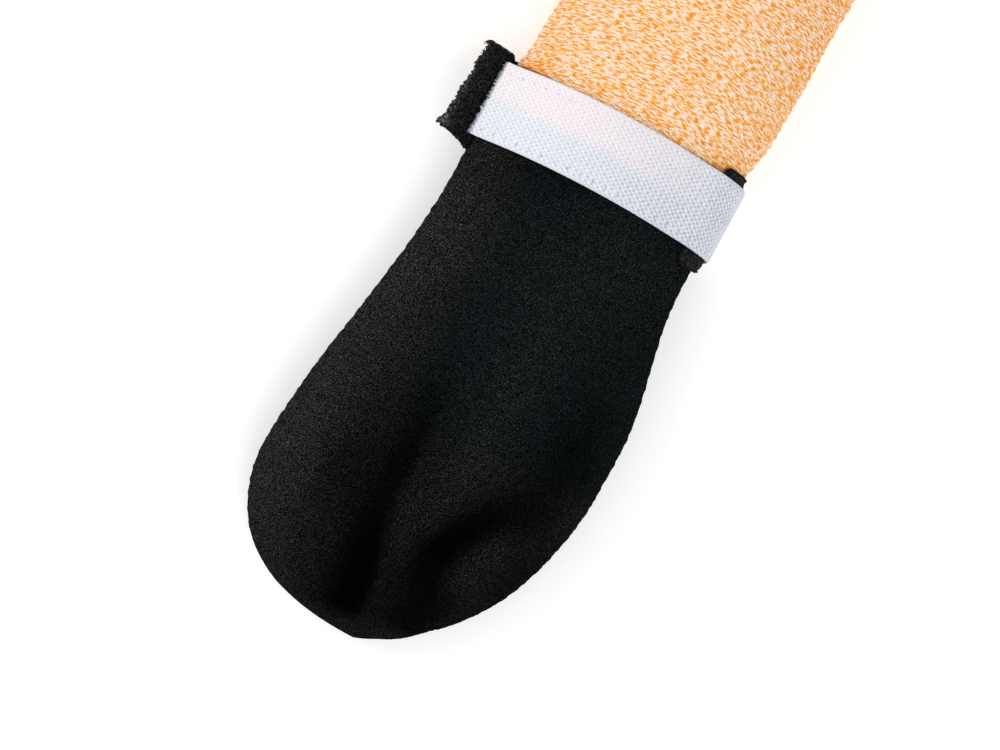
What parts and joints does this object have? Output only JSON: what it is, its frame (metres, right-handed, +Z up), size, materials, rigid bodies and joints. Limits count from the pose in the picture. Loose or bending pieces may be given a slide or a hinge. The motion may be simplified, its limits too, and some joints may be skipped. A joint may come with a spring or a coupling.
{
  "type": "winter overshoe",
  "caption": "Soft napped winter overshoe with a studded sole patch, a hook-and-loop ankle strap and a knitted leg sleeve.",
  "frame": {"origin": "centre of the resting face of the sole studs, on the floor plane", "axes": "+Z up from the floor, +Y from the toe towards the leg, +X to the right when the toe points at the viewer's feet and the boot is seen from above"},
  "size_m": [0.0975, 0.275, 0.046],
  "materials": {
    "napped_shell": "matt napped knit, black",
    "sole_rubber": "matt moulded rubber, black",
    "loop_pile": "brushed loop pile, black",
    "woven_tape": "woven filament tape, white, faint satin sheen",
    "hook_strip": "moulded hooks, translucent white",
    "white_thread": "twisted sewing thread, white",
    "black_thread": "twisted sewing thread, black",
    "marl_knit": "marl jersey knit, orange and white",
    "orange_hem": "ribbed knit edge, orange",
    "elastic": "braided elastic, off-white"
  },
  "bodies": {
    "boot": {"upper_panel": "napped_shell", "under_panel": "napped_shell", "seam_tape": "black_thread", "cuff_hem": "napped_shell", "sole_patch": "sole_rubber", "grip_studs": "sole_rubber", "sole_stitching": "black_thread", "loop_band": "loop_pile", "band_stitching": "black_thread", "tab_bar_tack": "black_thread", "strap_anchor": "woven_tape", "anchor_stitching": "white_thread"},
    "strap_near": {"strap_root": "woven_tape", "hooks_root": "hook_strip", "stitching_root": "white_thread"},
    "strap_mid": {"strap_middle": "woven_tape", "hooks_middle": "hook_strip", "stitching_middle": "white_thread"},
    "strap_far": {"strap_tip": "woven_tape", "hooks_tip": "hook_strip", "stitching_tip": "white_thread"},
    "tab": {"pull_tab": "loop_pile"},
    "sleeve": {"knit_sleeve": "marl_knit", "foot_hem": "orange_hem", "leg_hem": "orange_hem", "hem_elastic": "elastic", "hem_stitching": "orange_hem"}
  },
  "joints": [
    {"name": "strap_peel", "type": "hinge", "parent": "boot", "child": "strap_near", "pos_m": [0.04032, 0.0953, 0.02561], "axis": [0, 1, 0], "range_deg": [0, 150]},
    {"name": "strap_first_bend", "type": "hinge", "parent": "strap_near", "child": "strap_mid", "pos_m": [0.01508, 0.0953, 0.03685], "axis": [0, 1, 0], "range_deg": [0, 30]},
    {"name": "strap_second_bend", "type": "hinge", "parent": "strap_mid", "child": "strap_far", "pos_m": [-0.0171, 0.0953, 0.03659], "axis": [0, 1, 0], "range_deg": [0, 30]},
    {"name": "tab_fold", "type": "hinge", "parent": "boot", "child": "tab", "pos_m": [-0.04184, 0.0965, 0.02171], "axis": [0, 1, 0], "range_deg": [-95, 8]},
    {"name": "sleeve_slide", "type": "slide", "parent": "boot", "child": "sleeve", "axis": [0, 1, 0], "range_m": [0, 0.06]}
  ],
  "couplings": [
    {"joint": "strap_first_bend", "follows": "strap_peel", "ratio": 0.2},
    {"joint": "strap_second_bend", "follows": "strap_peel", "ratio": 0.2}
  ]
}
